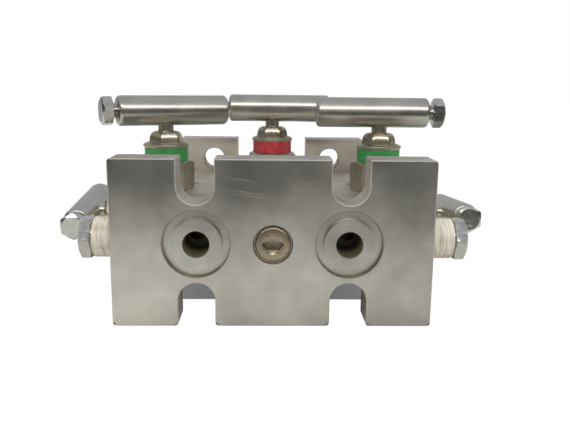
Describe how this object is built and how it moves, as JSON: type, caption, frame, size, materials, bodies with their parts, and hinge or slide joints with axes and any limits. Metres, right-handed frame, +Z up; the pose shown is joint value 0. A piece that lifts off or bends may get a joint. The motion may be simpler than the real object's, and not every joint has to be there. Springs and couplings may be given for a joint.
{
  "type": "instrument valve manifold",
  "caption": "Machined stainless manifold block between two flanges, with T-bar needle valves on its top and sides.",
  "frame": {"origin": "under the middle of the block, on the surface that both flanges stand on", "axes": "+X to the right seen from the transmitter flange, +Y from the transmitter flange to the process flange, +Z up along the top valves' stems"},
  "size_m": [0.1732, 0.098, 0.0804],
  "materials": {
    "machined_stainless": "ground and milled stainless bar, fine cross grain",
    "screw_steel": "plain stainless socket-head screw",
    "plug_stainless": "bright turned stainless",
    "thread_tape": "off-white thread-seal tape",
    "valve_stainless": "turned stainless, satin",
    "bright_stainless": "turned stainless, bright",
    "seal_plastic": "moulded fluoropolymer",
    "ring_green": "green plastic",
    "ring_red": "red plastic",
    "handle_stainless": "polished stainless bar",
    "bolt_stainless": "plain stainless bolt"
  },
  "bodies": {
    "manifold": {"valve_block": "machined_stainless", "centre_screw": "screw_steel", "left_test_plug": "plug_stainless", "left_plug_tape": "thread_tape", "right_test_plug": "plug_stainless", "right_plug_tape": "thread_tape", "left_isolate_bonnet": "valve_stainless", "left_isolate_bonnet_seal": "seal_plastic", "left_isolate_packing": "seal_plastic", "left_isolate_colour_ring": "ring_green", "left_isolate_collar": "valve_stainless", "left_isolate_gland_nut": "bright_stainless", "right_isolate_bonnet": "valve_stainless", "right_isolate_bonnet_seal": "seal_plastic", "right_isolate_packing": "seal_plastic", "right_isolate_colour_ring": "ring_green", "right_isolate_collar": "valve_stainless", "right_isolate_gland_nut": "bright_stainless", "equalise_bonnet": "valve_stainless", "equalise_bonnet_seal": "seal_plastic", "equalise_packing": "seal_plastic", "equalise_colour_ring": "ring_red", "equalise_collar": "valve_stainless", "equalise_gland_nut": "bright_stainless", "left_vent_bonnet": "valve_stainless", "left_vent_bonnet_seal": "seal_plastic", "left_vent_packing": "seal_plastic", "left_vent_colour_ring": "ring_green", "left_vent_collar": "valve_stainless", "left_vent_gland_nut": "bright_stainless", "right_vent_bonnet": "valve_stainless", "right_vent_bonnet_seal": "seal_plastic", "right_vent_packing": "seal_plastic", "right_vent_colour_ring": "ring_green", "right_vent_collar": "valve_stainless", "right_vent_gland_nut": "bright_stainless"},
    "left_isolate_tip": {"left_isolate_needle_tip": "bright_stainless"},
    "left_isolate_handle": {"left_isolate_stem": "bright_stainless", "left_isolate_handle_bar": "handle_stainless", "left_isolate_handle_bolt": "bolt_stainless"},
    "right_isolate_tip": {"right_isolate_needle_tip": "bright_stainless"},
    "right_isolate_handle": {"right_isolate_stem": "bright_stainless", "right_isolate_handle_bar": "handle_stainless", "right_isolate_handle_bolt": "bolt_stainless"},
    "equalise_tip": {"equalise_needle_tip": "bright_stainless"},
    "equalise_handle": {"equalise_stem": "bright_stainless", "equalise_handle_bar": "handle_stainless", "equalise_handle_bolt": "bolt_stainless"},
    "left_vent_tip": {"left_vent_needle_tip": "bright_stainless"},
    "left_vent_handle": {"left_vent_stem": "bright_stainless", "left_vent_handle_bar": "handle_stainless", "left_vent_handle_bolt": "bolt_stainless"},
    "right_vent_tip": {"right_vent_needle_tip": "bright_stainless"},
    "right_vent_handle": {"right_vent_stem": "bright_stainless", "right_vent_handle_bar": "handle_stainless", "right_vent_handle_bolt": "bolt_stainless"}
  },
  "joints": [
    {"name": "left_isolate_lift", "type": "slide", "parent": "manifold", "child": "left_isolate_tip", "axis": [0, 0, 1], "range_m": [0, 0.0031]},
    {"name": "left_isolate_turn", "type": "hinge", "parent": "left_isolate_tip", "child": "left_isolate_handle", "pos_m": [-0.042, -0.011, 0.04385], "axis": [0, 0, 1], "range_deg": [0, 1080]},
    {"name": "right_isolate_lift", "type": "slide", "parent": "manifold", "child": "right_isolate_tip", "axis": [0, 0, 1], "range_m": [0, 0.0031]},
    {"name": "right_isolate_turn", "type": "hinge", "parent": "right_isolate_tip", "child": "right_isolate_handle", "pos_m": [0.042, -0.011, 0.04385], "axis": [0, 0, 1], "range_deg": [0, 1080]},
    {"name": "equalise_lift", "type": "slide", "parent": "manifold", "child": "equalise_tip", "axis": [0, 0, 1], "range_m": [0, 0.0031]},
    {"name": "equalise_turn", "type": "hinge", "parent": "equalise_tip", "child": "equalise_handle", "pos_m": [0, 0.023, 0.04385], "axis": [0, 0, 1], "range_deg": [0, 1080]},
    {"name": "left_vent_lift", "type": "slide", "parent": "manifold", "child": "left_vent_tip", "axis": [-1, 0, 0], "range_m": [0, 0.0031]},
    {"name": "left_vent_turn", "type": "hinge", "parent": "left_vent_tip", "child": "left_vent_handle", "pos_m": [-0.05, 0.015, 0.03], "axis": [-1, 0, 0], "range_deg": [0, 1080]},
    {"name": "right_vent_lift", "type": "slide", "parent": "manifold", "child": "right_vent_tip", "axis": [1, 0, 0], "range_m": [0, 0.0031]},
    {"name": "right_vent_turn", "type": "hinge", "parent": "right_vent_tip", "child": "right_vent_handle", "pos_m": [0.05, 0.015, 0.03], "axis": [1, 0, 0], "range_deg": [0, 1080]}
  ],
  "couplings": [
    {"joint": "left_isolate_lift", "follows": "left_isolate_turn", "m_per_rad": 0.00015915},
    {"joint": "right_isolate_lift", "follows": "right_isolate_turn", "m_per_rad": 0.00015915},
    {"joint": "equalise_lift", "follows": "equalise_turn", "m_per_rad": 0.00015915},
    {"joint": "left_vent_lift", "follows": "left_vent_turn", "m_per_rad": 0.00015915},
    {"joint": "right_vent_lift", "follows": "right_vent_turn", "m_per_rad": 0.00015915}
  ]
}
